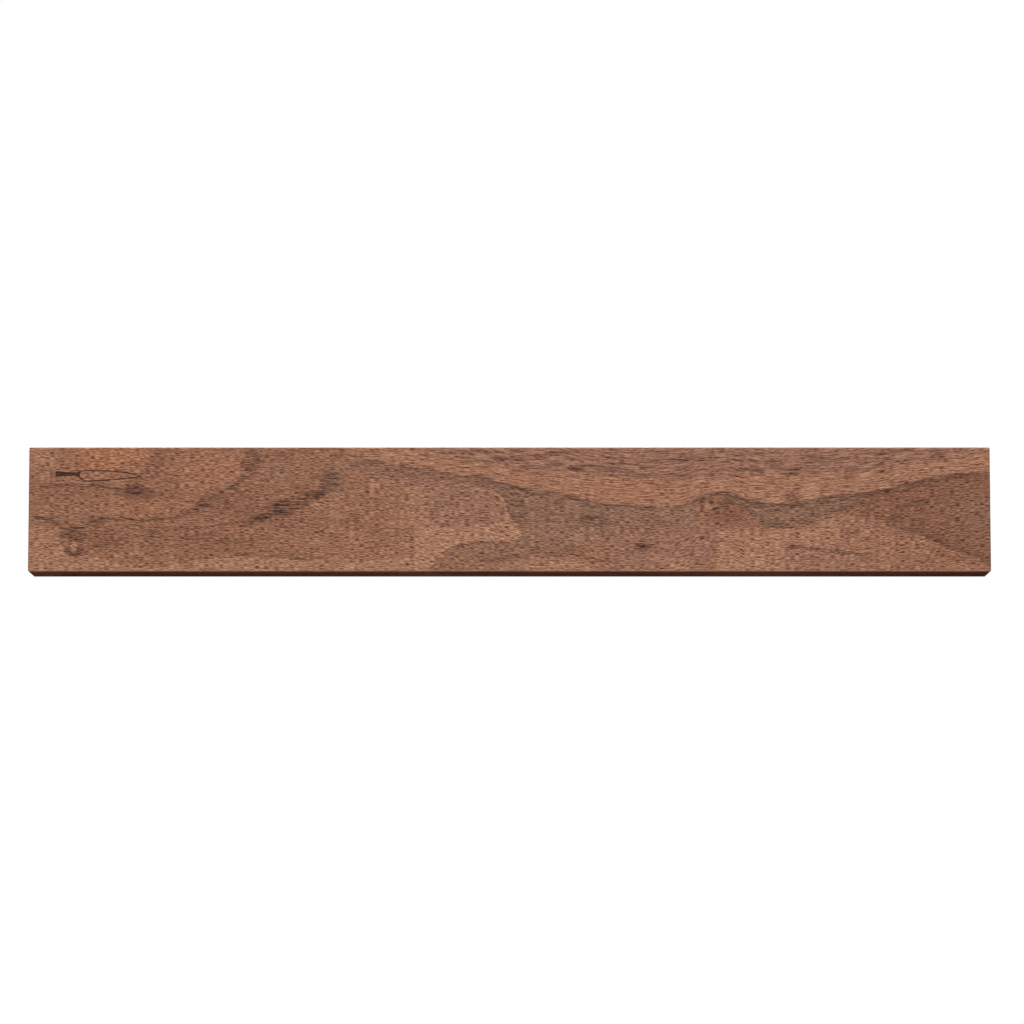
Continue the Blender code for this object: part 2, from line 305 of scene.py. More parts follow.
# %% Ring edges
MM = 0.001
RINGS = {
    "streak_floor": [(-60, 34), (-45, 31.5), (-25, 27), (0, 22.5), (30, 19.5), (60, 16.5), (90, 16.5),
                     (120, 18), (150, 18), (190, 20.5), (210, 23.5), (230, 27), (250, 30)],
    "amber_floor": [(-92, 29), (-75, 27), (-60, 25), (-45, 22), (-30, 19), (-15, 16.5), (0, 12.5),
                    (20, 9.5), (32, 6.5), (45, 3.5), (60, 2.2), (80, 1.2), (88, 2), (94, 5), (100, 7.5),
                    (110, 9), (118, 7.5), (126, 4.5), (136, 3.2), (150, 4), (165, 5.6), (180, 8),
                    (200, 11.5), (215, 14.5), (228, 17.5), (250, 20.5)],
    "rose_floor": [(-92, 20), (-75, 17.5), (-60, 14.5), (-45, 12), (-30, 11.8), (-20, 11)],
    "nose_roof": [(-45, 13), (-30, 12), (-20, 10.6), (-10, 9), (-5, 7.6), (-2.5, 5.5), (-1.2, 2),
                  (-0.4, -3), (1.4, -6.5), (4.4, -9.5), (7, -13.5)],
    "nose_floor": [(-46, -37), (-43, -32), (-39, -27.5), (-35, -23.5), (-30, -20.3), (-20, -17.8),
                   (-10, -16.6), (0, -16.3), (4, -15), (7, -12.5)],
    "core_floor": [(-48, -8), (-38, -8.5), (-25, -9.5), (-12, -9.5), (-3, -8), (1, -4)],
    "grey_floor": [(-6, -22), (15, -19.5), (42, -20), (50, -13), (56, -11), (70, -10), (97, -10)],
    "lens_floor": [(112, 7), (118, 3), (122, 0.5), (126, -3.5), (130, -7.5), (136, -9.2), (144, -9.3),
                   (151, -7.6), (160, -4.4), (170, -1.4), (180, 1.6), (192, 5)],
    "red_floor": [(176, 1.5), (184, -4), (192, -6), (199, -8.5), (205, -11.3), (216, -13.8),
                  (222, -16.5), (228, -19), (236, -21.3), (245, -25), (252, -29)],
    "red_roof": [(198, -4), (202, 0.5), (210, 3.8), (220, 5.5), (235, 8), (250, 11)],
    "oval_roof": [(49, -24), (52, -15), (56, -11.5), (64, -9.8), (85, -9.6), (101, -9.8), (106, -12),
                  (109.5, -17)],
    "oval_side": [(100, -38), (104, -26), (107, -20), (109.5, -17)],
    "pale_roof": [(104, -12), (114, -11), (130, -10.5), (150, -9), (165, -5), (180, -2), (200, -12)],
    "tongue_roof": [(140, -34), (141.5, -22), (143.5, -18.8), (150, -18.2), (160, -19.3), (170, -20.6),
                    (180, -22.4), (192, -27)],
    "sill_roof": [(-250, -8), (-238, -11), (-231, -20), (-226, -25), (-214, -25.5), (-200, -28.5),
                  (-190, -29.3), (-175, -28.2), (-160, -25.6), (-145, -23.8), (-125, -24), (-105, -25.5),
                  (-85, -26.5), (-65, -25), (-42, -24)],
    "brow": [(-252, -3.5), (-243, -4.5), (-236, -7.5), (-229, -11), (-225, -10.6), (-220, -8.8),
             (-213, -6), (-203, -5.2), (-190, -5.4), (-180, -4.2), (-171, -2.9), (-165, -0.4),
             (-160, 1.5), (-157, 5.5), (-152, 8.6), (-147, 10.3), (-142, 13.5), (-138, 17),
             (-135.5, 22), (-134, 30)],
    "smudge": [(-140, -7), (-127, -3.5), (-121, -1), (-114, 2), (-108, 4.6), (-101, 6.5), (-96, 9.5),
               (-92.5, 13.5), (-90.5, 20)],
    "wedge_vein": [(-21.5, -33), (-18, -28.3), (-14, -26.6), (-9, -26), (-4, -25), (1, -23.5),
                   (8, -22.5)],
    "spot_streak": [(-248, 11.5), (-238, 13.3), (-225, 13), (-212, 12.3), (-203, 11), (-190, 10),
                    (-178, 9)],
    "low_grain": [(8, -23), (20, -22.5), (35, -24), (50, -27.5), (58, -29)],
    "long_grain": [(-205, -9), (-185, -8.5), (-165, -9.5), (-150, -8), (-136, -7.6), (-128, -5.5)],
    "deep_grain": [(-222, -21), (-208, -17), (-192, -14.5), (-170, -14), (-150, -16), (-120, -15)],
}
print(len(RINGS), "ring edges")

# %% [markdown]
# Between two ring edges lies the wood of one season or one cut, with a tone of its own. A zone names its
# tone, the edge above it and the edge below it, and says where it starts and ends along the board. A
# later zone covers an earlier one.

# %% Zones between ring edges
ZONES = [
    # tone, roof, floor, (start, end), (fade in, fade out), edge softness, strength
    ("pale", "sill_roof", None, (-252, -40), (1, 8), 1.6, 0.85),
    ("pale", "pale_roof", None, (107, 203), (2, 60), 1.4, 0.80),
    ("amber", "streak_floor", "amber_floor", (-88, 252), (16, 1), 1.0, 0.95),
    ("rose", None, "streak_floor", (-52, 252), (22, 1), 1.8, 0.90),
    ("rose", "amber_floor", "rose_floor", (-92, -4), (12, 14), 1.2, 0.75),
    ("grey", "amber_floor", "grey_floor", (-20, 99), (8, 4), 1.8, 1.0),
    ("pale", "nose_roof", "nose_floor", (-64, 8), (24, 1), 0.7, 1.0),
    ("rose", "nose_roof", "core_floor", (-50, -0.5), (14, 2.5), 1.6, 0.90),
    ("grey", "nose_floor", None, (-44, 30), (1, 24), 0.8, 0.45),
    ("rose", "oval_roof", "oval_side", (49, 110), (2, 1), 0.8, 0.90),
    ("rose", "tongue_roof", None, (140, 196), (1.5, 14), 0.8, 0.55),
    ("grey", "amber_floor", "lens_floor", (112, 194), (3, 14), 0.6, 1.0),
    ("red", "amber_floor", "red_floor", (176, 253), (14, 1), 1.6, 0.90),
]
print(len(ZONES), "zones")

# %% [markdown]
# Late wood is the dark, dense end of a year's growth. It lies along a ring edge, crisp on one side and
# soft on the other. The early wood of the next year lines the same edge with a pale rim.

# %% Late wood and pale rims
LATE_LINES = [
    # (ring edge, (start, end), (width above, below), strength)
    ("brow", (-253, -132), (1.3, 1.6), 0.80),
    ("brow", (-168, -128), (1.2, 5.0), 0.62),
    ("smudge", (-142, -88), (4.2, 5.0), 0.85),
    ("smudge", (-132, -88), (1.0, 1.8), 0.50),
    ("amber_floor", (-88, 12), (1.5, 8.0), 0.40),
    ("amber_floor", (-34, 60), (0.7, 5.0), 0.60),
    ("amber_floor", (24, 96), (0.5, 2.4), 0.66),
    ("amber_floor", (92, 252), (1.4, 5.2), 0.70),
    ("nose_roof", (-12, 9), (6.5, 0.5), 0.46),
    ("lens_floor", (112, 188), (6.0, 0.5), 0.55),
    ("lens_floor", (112, 140), (3.0, 1.4), 0.55),
    ("red_floor", (194, 252), (2.4, 1.8), 0.75),
    ("red_roof", (196, 232), (2.0, 3.0), 0.50),
    ("sill_roof", (-198, -96), (1.1, 1.5), 0.48),
    ("wedge_vein", (-22, 8), (0.9, 2.0), 0.60),
    ("tongue_roof", (138, 188), (0.8, 2.6), 0.62),
    ("spot_streak", (-248, -184), (1.9, 2.2), 0.60),
    ("low_grain", (6, 60), (0.8, 1.0), 0.55),
    ("long_grain", (-206, -127), (0.8, 1.2), 0.45),
    ("deep_grain", (-222, -118), (1.0, 1.5), 0.36),
    ("nose_floor", (-38, 4), (0.2, 2.0), 0.42),
    ("oval_roof", (50, 109), (0.5, 1.2), 0.24),
    ("oval_side", (101, 110), (0.3, 1.8), 0.42),
]
PALE_LINES = [
    ("nose_roof", (-24, 6), (0.4, 2.2), 0.80),
    ("nose_floor", (-46, 7), (6.0, 0.3), 0.60),
    ("oval_roof", (50, 109), (1.5, 0.2), 0.35),
    ("lens_floor", (118, 176), (0.2, 1.6), 0.45),
]
print(len(LATE_LINES), "lines of late wood,", len(PALE_LINES), "pale rims")

# %% [markdown]
# Last come the marks that follow no ring: knots, tinted areas a few centimetres long, dark spots, and
# the dashes of straight grain near the top.

# %% Knots, patches and spots
KNOTS = [
    # (along, up), radius, stretch
    ((-226.5, -18.5), 1.8, 1.0),
    ((107.0, 1.0), 2.4, 1.6),
]
PATCHES = {
    # tone: (along, up), (half length, half height), strength
    "orange": [
        ((-206, 28), (24, 10), 1.0),
        ((-158, 20), (20, 12), 0.45),
        ((66, 10), (34, 6), 0.45),
        ((-190, 2), (26, 6), 0.3),
    ],
    "pale": [
        ((-244, 27), (10, 9), 0.7),
        ((-57, -7.5), (9, 3.5), 0.55),
        ((-66, 12.5), (9, 4), 0.4),
        ((79, -24.5), (7, 3.6), 0.8),
        ((86, -28.5), (9, 4.6), 0.95),
        ((22, -30), (30, 4.5), 0.9),
        ((40, -15), (12, 5), 0.35),
        ((-70, 1), (26, 12), 0.15),
    ],
    "rose": [
        ((-29, 9), (11, 6), 0.8),
        ((18, -13.5), (10, 5), 0.8),
        ((104, 1), (4.5, 3.5), 0.7),
        ((66, -15.5), (8, 3), 0.4),
        ((160, -26), (22, 8), 0.45),
    ],
    "red": [
        ((-183, 28), (5, 8), 0.7),
        ((-211, -14), (14, 6), 0.8),
        ((-188, 8.5), (12, 4.5), 0.7),
        ((-112, 29), (15, 6), 0.3),
        ((112, -3.5), (11, 5.5), 1.0),
        ((-142, 2), (20, 9), 0.55),
        ((-112, -7), (12, 3), 0.4),
        ((-172, -14), (40, 6), 0.3),
        ((190, -1), (14, 6), 0.5),
        ((70, -19), (9, 4.5), 0.5),
        ((-193, 9), (16, 6), 0.5),
    ],
    "grey": [
        ((-119, 20), (13, 9), 0.5),
        ((-92, 14), (8, 9), 0.8),
        ((-238, -5.5), (10, 3.2), 0.8),
        ((-65, -14.5), (6, 3), 0.5),
        ((243, -3), (12, 14), 0.45),
        ((150, 1), (16, 2.2), 0.5),
    ],
    "late": [
        ((-93.5, 14.0), (6, 7.5), 0.62),
        ((-134, 24), (5.5, 9), 0.62),
        ((-159.0, 2.6), (5.4, 3.6), 0.95),
        ((-137.5, 16.5), (3.5, 2), 0.45),
        ((-118.5, -0.2), (12.5, 5.2), 0.80),
        ((-109, 2), (9, 5.5), 0.50),
        ((-217, -6.5), (7, 3.4), 0.42),
        ((-239, -5.5), (7, 2.4), 0.32),
        ((-226.0, -12.6), (7.5, 5.2), 0.80),
        ((-226.5, -19.5), (6.5, 5.5), 0.30),
        ((-193.5, 9.5), (10.5, 4.4), 0.55),
        ((70.0, -19.0), (6.5, 2.8), 0.30),
        ((43.5, -6.2), (9.5, 4.6), 0.55),
        ((77, -6.5), (8, 4), 0.24),
        ((20, -1), (10, 6), 0.12),
        ((98, 5), (4.5, 1.8), 0.60),
        ((114, 4.8), (8, 2.6), 0.62),
        ((110, 0.8), (6, 4.6), 0.62),
        ((199.5, -4.5), (4, 3.6), 0.55),
        ((145, -7.4), (9, 2.2), 0.28),
        ((129, -4), (4, 5), 0.25),
        ((207, 12.5), (9, 2.4), 0.40),
        ((4, -1), (6, 10), 0.36),
        ((-22, 15), (16, 3.6), 0.22),
        ((-70, 21.5), (12, 3.4), 0.22),
        ((-94, -12), (5, 2), 0.25),
        ((-42, 6), (3, 6), 0.12),
        ((-38, 0), (1.8, 6), 0.30),
        ((-33, 3.5), (3.5, 1.4), 0.30),
        ((101, -11), (4, 1.4), 0.40),
        ((106.5, -21), (1.8, 1.8), 0.40),
        ((180, -11.5), (4, 1.2), 0.40),
        ((191, -9.3), (3, 1.3), 0.40),
        ((201, -13.2), (4, 1.2), 0.35),
        ((225, -18), (4, 1.6), 0.45),
        ((211, -12.6), (9, 1.4), 0.45),
        ((-150, -8.6), (2, 1.2), 0.40),
    ],
    "heart": [
        ((-195.2, 9.9), (5.6, 2.8), 0.66),
        ((-196.4, 10.4), (2.8, 1.8), 0.70),
        ((-226.5, -22.0), (6.2, 2.6), 0.62),
        ((-222.8, -20.0), (2.4, 3.4), 0.36),
        ((68.5, -19.3), (4.6, 1.7), 0.62),
        ((104.8, 4.8), (1.6, 1.3), 0.9),
        ((-121, -0.8), (6, 1.7), 0.25),
        ((112, 4.4), (6, 1.2), 0.35),
        ((46, -9), (3, 1.0), 0.4),
        ((40.5, -5.3), (4, 1.2), 0.4),
    ],
}
KNOT_HEARTS = [
    ((-226.3, -18.8), (2.0, 3.6), 1.0),
    ((104, 1.2), (3, 3), 0.3),
]
print(len(KNOTS), "knots,", sum(len(patches) for patches in PATCHES.values()), "patches")

# %% Dashes of straight grain
DASHES = [
    # (along, up), (half length, half height), strength
    ((84, 25.6), (13, 0.9), 0.85),
    ((67, 18.2), (11, 1.2), 0.60),
    ((86, 18.2), (10, 0.9), 0.50),
    ((52, 20), (9, 1.1), 0.50),
    ((36, 21.4), (7, 1.8), 0.60),
    ((12, 23), (6, 1.8), 0.50),
    ((23, 22.6), (6, 1.3), 0.50),
    ((28, 28.8), (18, 1.2), 0.50),
    ((57, 24.6), (8, 1.4), 0.45),
    ((102, 27), (10, 1.7), 0.50),
    ((120, 25.4), (13, 1.1), 0.50),
    ((139, 25.4), (12, 0.9), 0.45),
    ((103, 19), (6, 1.0), 0.45),
    ((122, 20.4), (13, 1.0), 0.55),
    ((148, 20.8), (14, 1.2), 0.55),
    ((145, 18.4), (7, 0.9), 0.50),
    ((163, 26.8), (14, 1.1), 0.60),
    ((179, 21.8), (11, 1.3), 0.45),
    ((191, 28.4), (14, 1.1), 0.50),
    ((192, 22.6), (5, 0.8), 0.45),
    ((214, 30.6), (15, 1.1), 0.55),
    ((222, 26), (12, 1.1), 0.35),
    ((200, 25), (12, 0.8), 0.30),
    ((0, 27.5), (14, 1.4), 0.35),
    ((-20, 29.5), (12, 1.4), 0.30),
    ((76, 13), (8, 0.9), 0.30),
    ((42, 16.2), (6, 0.8), 0.35),
    ((-30, 1.4), (6, 0.7), 0.25),
    ((-55, -11.2), (16, 0.9), 0.28),
    ((66, -12), (10, 0.5), 0.20),
    ((-242, -16.2), (9, 0.7), 0.40),
    ((-180, -18.5), (16, 0.9), 0.28),
    ((-146, -20), (18, 0.8), 0.25),
    ((-190, -11), (14, 0.8), 0.28),
    ((-225, 6), (14, 0.7), 0.20),
    ((240, -15), (10, 0.8), 0.25),
    ((30, -20.4), (16, 0.8), 0.30),
]
print(len(DASHES), "dashes")

# %% [markdown]
# ## Height of a ring edge
#
# The Float Curve node holds a drawn curve through a few listed points. Its own range is 0 to 1,
# so lengths are scaled into it and the heights are scaled back out. The curve is read a millimetre to
# the left and to the right. The mean is the height, and the difference says how steep the edge is. On a
# steep stretch a distance measured straight up is too long, so it is shortened by that slope.

# %% Ring edge helper
CURVE_REACH = board_size.x * 1.1
CURVE_RISE = board_size.z * 1.25
READ_STEP = 0.001


def read_curve(bench, points, along):
    """Height in metres of a drawn curve at one place along."""
    scaled = bench.math("MULTIPLY_ADD", along, 1.0 / CURVE_REACH, 0.5)
    node = bench.add("ShaderNodeFloatCurve", inputs={"Value": scaled})
    node.mapping.use_clip = False
    curve = node.mapping.curves[0]
    marks = [(x * MM / CURVE_REACH + 0.5, z * MM / CURVE_RISE + 0.5) for x, z in points]
    curve.points[0].location = marks[0]
    curve.points[1].location = marks[-1]
    for mark in marks[1:-1]:
        curve.points.new(*mark)
    node.mapping.update()
    return bench.math("MULTIPLY_ADD", node.outputs[0], CURVE_RISE, -CURVE_RISE / 2)


def above_ring(bench, points, along, across):
    """Distance above a ring edge, square to it."""
    left = read_curve(bench, points, bench.math("SUBTRACT", along, READ_STEP))
    right = read_curve(bench, points, bench.math("ADD", along, READ_STEP))
    height = bench.math("MULTIPLY", bench.math("ADD", left, right), 0.5)
    slope = bench.math("MULTIPLY", bench.math("SUBTRACT", right, left), 0.5 / READ_STEP)
    steep = bench.math("SQRT", bench.math("MULTIPLY_ADD", slope, slope, 1.0))
    return bench.math("DIVIDE", bench.math("SUBTRACT", across, height), steep)


# %% [markdown]
# ## Layering features
#
# Each list becomes one mask. Features are laid over each other with a maximum, so that two that meet
# don't add up to a hole in the colour.

# %% Layer helpers
PATCH_CORE = 0.08
PATCH_EDGE = 1.2


def window(bench, along, span, fades, strength=1.0):
    """Strength inside a stretch of the board and 0 outside, with a fade at each end."""
    start, end = (side * MM for side in span)
    fade_in = bench.between(along, start, start + fades[0] * MM, 0.0, strength)
    fade_out = bench.between(along, end - fades[1] * MM, end, 1.0, 0.0)
    return bench.math("MULTIPLY", fade_in, fade_out)


def zone_mask(bench, roof, floor, span, fades, softness, strength, rings, along):
    """Mask of one zone; rings holds the distance above each ring edge."""
    mask = window(bench, along, span, fades, strength)
    soft = softness * MM
    if roof:
        mask = bench.math("MULTIPLY", mask, bench.between(rings[roof], -soft, soft, 1.0, 0.0))
    if floor:
        mask = bench.math("MULTIPLY", mask, bench.between(rings[floor], -soft, soft))
    return mask


def layer_lines(bench, lines, rings, along, fade=9.0):
    """One mask from a list of lines that follow ring edges."""
    total = 0.0
    for ring, span, (above, below), strength in lines:
        upper = bench.between(rings[ring], 0.0, above * MM, 1.0, 0.0)
        lower = bench.between(rings[ring], -below * MM, 0.0)
        body = bench.math("MULTIPLY", upper, lower)
        line = bench.math("MULTIPLY", body, window(bench, along, span, (fade, fade), strength))
        total = bench.math("MAXIMUM", total, line)
    return total


def at(spot):
    """A place on the front face, from millimetres along and up."""
    return (spot[0] * MM, 0.0, spot[1] * MM)


def layer_patches(bench, patches, along, across):
    """One mask from a list of soft ellipses that lie along the grain."""
    total = 0.0
    for (x, z), (half_length, half_height), strength in patches:
        u = bench.math("MULTIPLY_ADD", along, 1 / (half_length * MM), -x / half_length)
        v = bench.math("MULTIPLY_ADD", across, 1 / (half_height * MM), -z / half_height)
        square = bench.math("MULTIPLY_ADD", u, u, bench.math("MULTIPLY", v, v))
        mask = bench.between(square, PATCH_CORE, PATCH_EDGE, strength, 0.0)
        total = bench.math("MAXIMUM", total, mask)
    return total


def bend_round_knots(bench, knots, along, across):
    """Across, bent round each knot."""
    bent = across
    for spot, radius, stretch in knots:
        inputs = {
            "Along": along,
            "Across": across,
            "Centre": at(spot),
            "Radius": radius * MM,
            "Stretch": stretch,
        }
        bent = bench.math("ADD", bent, bench.use(knot_flow, inputs)["Bend"])
    return bent


print("layer helpers ready")

# %% [markdown]
# ## Starting a material
#
# Each material keeps its own Principled shader. Numbers that are the same all over go straight onto the
# shader's sockets, and only what changes over the surface comes from nodes.

# %% Material helper
def start_material(name, roughness, metallic=0.0, specular=0.5):
    """(material, bench, shader inputs, object coordinates)."""
    made = bpy.data.materials.new(name)
    made.use_nodes = True
    shader = made.node_tree.nodes["Principled BSDF"]
    shader.inputs["Roughness"].default_value = roughness
    shader.inputs["Metallic"].default_value = metallic
    shader.inputs["Specular IOR Level"].default_value = specular
    bench = Bench(made.node_tree)
    place = bench.add("ShaderNodeTexCoord").outputs["Object"]
    return made, bench, shader.inputs, place


def raise_surface(bench, shader, height, depth):
    """Bumps the surface by height, a 0 to 1 value, times depth in metres."""
    bump = bench.add("ShaderNodeBump", inputs={"Height": height, "Distance": depth, "Strength": 1.0})
    bench.feed(shader["Normal"], bump.outputs["Normal"])


print("material helper ready")

# %% [markdown]
# ## Oiled walnut
#
# The colour is built as the tree built it. First comes the ground tone, which drifts between a lighter
# and a darker brown in long streaks. The zones and patches tint it. Late wood darkens it along the ring
# edges, then come the dark spots, and last the pores and fibres. Oil sinks into pores and leaves them
# matte, so the roughness and the bump read the same mask.

# %% Walnut tones
GROUND_BROWN = colour(0.233, 0.104, 0.057)
LIGHT_BROWN = colour(0.262, 0.121, 0.069)
TONES = {
    "pale": colour(0.318, 0.157, 0.092),
    "amber": colour(0.292, 0.138, 0.079),
    "orange": colour(0.312, 0.134, 0.066),
    "rose": colour(0.250, 0.119, 0.075),
    "grey": colour(0.218, 0.110, 0.067),
    "red": colour(0.192, 0.081, 0.044),
    "late": colour(0.082, 0.032, 0.018),
    "heart": colour(0.045, 0.014, 0.010),
}
# Pale colour of the painted highlight along the edges.
EDGE_HIGHLIGHT_BROWN = colour(0.460, 0.270, 0.180)
# These two multiply the tone: a dark fibre takes light away, a pale one glints.
DARK_FIBRE = colour(0.25, 0.05, 0.0)
PALE_FIBRE = colour(1.69, 1.92, 1.97)
PORE_SHADE = colour(0.66, 0.44, 0.32)
print(len(TONES), "walnut tones")

# %% Grain coordinates of the board
GRAIN_FOLLOWS = 0.5
walnut, w, walnut_shader, place = start_material("oiled_walnut", 0.6, specular=0.14)
space = w.use(grain_space, {"Place": place, "Front": front_y})
along = space["Along"]
across = space["Across"]
depth = space["Depth"]
flow = w.math("MULTIPLY", read_curve(w, RINGS["amber_floor"], along), GRAIN_FOLLOWS)
bent = bend_round_knots(w, KNOTS, along, across)
bent = w.math("SUBTRACT", bent, flow)

# %% [markdown]
# The streaks of the ground tone come from noise that is stretched along the grain and that leans with the
# long ring edge. A broad and a narrow band of it keep the streaks from looking printed.

# %% Ground tone
BROAD_STRETCH = 0.16
NARROW_STRETCH = 0.045
broad = w.noise(w.join(w.math("MULTIPLY", along, BROAD_STRETCH), depth, bent), 110.0, 2.0, 0.5)
narrow = w.noise(w.join(w.math("MULTIPLY", along, NARROW_STRETCH), depth, bent), 620.0, 2.0, 0.6)
tone = w.blend(w.between(broad, 0.35, 0.68), GROUND_BROWN, LIGHT_BROWN)

# %% [markdown]
# No edge in wood is as smooth as a drawn curve. A fine noise shakes the height by up to 0.7 mm before it is
# compared with the ring edges.

# %% Tones of zones and patches
SHAKE_STRETCH = 0.45
SHAKE_HEIGHT = 0.0014
shaky_place = w.join(w.math("MULTIPLY", along, SHAKE_STRETCH), depth, across)
shake = w.math("SUBTRACT", w.noise(shaky_place, 330.0, 3.0, 0.7), 0.5)
shaky = w.math("MULTIPLY_ADD", shake, SHAKE_HEIGHT, across)
rings = {name: above_ring(w, points, along, shaky) for name, points in RINGS.items()}
for name, *extent in ZONES:
    tone = w.blend(zone_mask(w, *extent, rings, along), tone, TONES[name])
for name in ("orange", "pale", "rose", "red", "grey"):
    tone = w.blend(layer_patches(w, PATCHES[name], along, shaky), tone, TONES[name])
print("figure tinted in", len(w.tree.nodes), "nodes")

# %% Pores and fibres of the walnut
grain = {"Along": along, "Across": bent, "Depth": depth}
short = w.use(wood_fibres, {**grain, "Fibre Length": 0.0026, "Fibre Width": 0.00030})["Fibres"]
long = w.use(wood_fibres, {**grain, "Fibre Length": 0.0095, "Fibre Width": 0.00034})["Fibres"]
pore_cells = {"Cell Length": 0.0080, "Cell Width": 0.00060, "Size": 0.22}
pores = w.use(wood_pores, {**grain, **pore_cells})["Pores"]
print("pores and two lengths of fibres")

# %% [markdown]
# A growth line isn't a stroke of paint. It is a crowd of darker fibres, so its mask is torn by the
# fibres themselves before it darkens the tone.

# %% Late wood
TEAR = -1.1
TEAR_START = 1.45
torn = w.math("MULTIPLY_ADD", long, TEAR, TEAR_START)
upright = w.between(rings["streak_floor"], -0.002, 0.002, 0.30, 0.62)
streaky = w.math("MULTIPLY", w.between(narrow, 0.52, 0.74), upright)
dashes = layer_patches(w, DASHES, along, shaky)
lines = w.math("MAXIMUM", layer_lines(w, LATE_LINES, rings, along), dashes)
lines = w.math("MAXIMUM", lines, layer_patches(w, PATCHES["late"], along, shaky))
late = w.math("MAXIMUM", w.math("MULTIPLY", lines, torn), streaky)
tone = w.blend(layer_lines(w, PALE_LINES, rings, along), tone, TONES["pale"])
tone = w.blend(late, tone, TONES["late"])
hearts = w.math("MULTIPLY", layer_patches(w, PATCHES["heart"], along, shaky), torn)
tone = w.blend(hearts, tone, TONES["heart"])
tone = w.blend(layer_patches(w, KNOT_HEARTS, along, across), tone, TONES["pale"])

# %% [markdown]
# The two lengths of fibres mix by place: straight grain above the long ring edge shows long fibres, and
# the wood below, which the saw cut across, shows short ones. The result multiplies the tone, and so do
# the pores.

# %% Fibres over the tone
def lay_fibres(bench, tone, short, long, share, pores):
    """Tone with fibres and pores laid over it; share says how much the long fibres count."""
    mixed = bench.math("ADD", short, bench.math("MULTIPLY", bench.math("SUBTRACT", long, short), share))
    glint = bench.blend(mixed, DARK_FIBRE, PALE_FIBRE)
    shade = bench.blend(pores, colour(1.0, 1.0, 1.0), PORE_SHADE)
    return bench.blend(1.0, bench.blend(1.0, tone, glint, "MULTIPLY"), shade, "MULTIPLY")


long_share = w.between(rings["amber_floor"], -0.004, 0.004, 0.34, 0.55)
tone = lay_fibres(w, tone, short, long, long_share, pores)

# %% [markdown]
# The sanded edges are painted paler within about a millimetre as a painted highlight, most of all along the
# lowest edge of the front. The narrow noise frays the pale line.

# %% Painted highlight on the edges
FRAY = 0.0004
edge = w.use(edge_distance, {"Place": place, "Middle": board_middle, "Size": board_size})["Distance"]
edge_highlight = w.between(w.math("MULTIPLY_ADD", narrow, FRAY, edge), 0.0006, 0.0014, 0.5, 0.0)
low_edge = w.between(w.split(place)["Z"], -0.031, -0.0325, 0.1, 1.0)
# Painted highlight: the edges turn paler, most of all along the lowest edge of the front.
tone = w.blend(w.math("MULTIPLY", edge_highlight, low_edge), tone, EDGE_HIGHLIGHT_BROWN)
print("edge highlight painted")

# %% [markdown]
# A small pictogram of a kitchen knife is burnt into the front with a hot stamp: a dark handle and the
# outline of a blade. Two drawn curves, one for the spine and one for the cutting edge, close its
# outline. Multiplying the tone keeps the fibres visible through the burn.

# %% Burnt knife pictogram
SPINE = [(-238, 18.6), (-237, 20.0), (-231, 19.6), (-224, 19.4), (-223, 20.4), (-207, 20.2),
         (-198, 19.2), (-191, 17.2)]
CUTTING_EDGE = [(-238, 18.6), (-237, 17.0), (-231, 17.4), (-224, 17.2), (-222.6, 14.6), (-212, 14.8),
                (-200, 15.8), (-191, 17.0)]
LINE_WIDTH = 0.0006
BURN_BLUR = 0.00015
HANDLE_END = -0.2235
BURN_SHADE = colour(0.20, 0.15, 0.14)
place_x, place_y, place_z = w.split(place)[:]
below_spine = w.math("SUBTRACT", read_curve(w, SPINE, place_x), place_z)
above_edge = w.math("SUBTRACT", place_z, read_curve(w, CUTTING_EDGE, place_x))
inside = w.math("MINIMUM", below_spine, above_edge)
filled = w.between(inside, -BURN_BLUR, BURN_BLUR)
hollow = w.between(inside, LINE_WIDTH - BURN_BLUR, LINE_WIDTH + BURN_BLUR)
hollow = w.math("MULTIPLY", hollow, w.between(place_x, HANDLE_END, HANDLE_END + BURN_BLUR))
stretch = window(w, place_x, (SPINE[0][0], SPINE[-1][0]), (0.2, 0.2))
burn = w.math("MULTIPLY", w.math("SUBTRACT", filled, hollow), stretch)
burn = w.math("MULTIPLY", burn, w.between(place_y, front_y + 0.0006, front_y + 0.001, 1.0, 0.0))
tone = w.blend(burn, tone, w.blend(1.0, tone, BURN_SHADE, "MULTIPLY"))
print("pictogram burnt")

# %% [markdown]
# The channel and the rebate are milled before the board is oiled, and no one oils them. The bare wood
# inside is paler and duller, and it keeps the small ripples of the cutter.

# %% Bare wood inside and the final wiring
BARE_BROWN = colour(0.34, 0.20, 0.125)
INSIDE_LENGTH = 0.2366
INSIDE_HEIGHT = 0.0279
CUTTER_STEP = 0.0016
MASK_BLUR = 0.0002
in_length = w.between(w.math("ABSOLUTE", place_x), INSIDE_LENGTH, INSIDE_LENGTH + MASK_BLUR, 1.0, 0.0)
in_height = w.between(w.math("ABSOLUTE", place_z), INSIDE_HEIGHT, INSIDE_HEIGHT + MASK_BLUR, 1.0, 0.0)
in_depth = w.between(place_y, front_y + 0.001, front_y + 0.002)
below_back = w.between(place_y, -0.0003, -0.0006)
bare = w.math("MULTIPLY", w.math("MULTIPLY", in_length, in_height), in_depth)
bare = w.math("MULTIPLY", bare, below_back)
tone = w.blend(w.math("MULTIPLY", bare, 0.7), tone, BARE_BROWN)
ripple = w.math("SINE", w.math("MULTIPLY", place_x, 2 * math.pi / CUTTER_STEP))
w.feed(walnut_shader["Base Color"], tone)
oiled = w.between(pores, 0.0, 1.0, 0.55, 0.8)
w.feed(walnut_shader["Roughness"], w.math("MAXIMUM", oiled, w.math("MULTIPLY", bare, 0.85)))
relief = w.math("SUBTRACT", w.math("MULTIPLY", short, 0.3), pores)
relief = w.math("MULTIPLY_ADD", w.math("MULTIPLY", ripple, bare), 0.25, relief)
relief = w.math("SUBTRACT", relief, burn)
raise_surface(w, walnut_shader, relief, 0.00005)
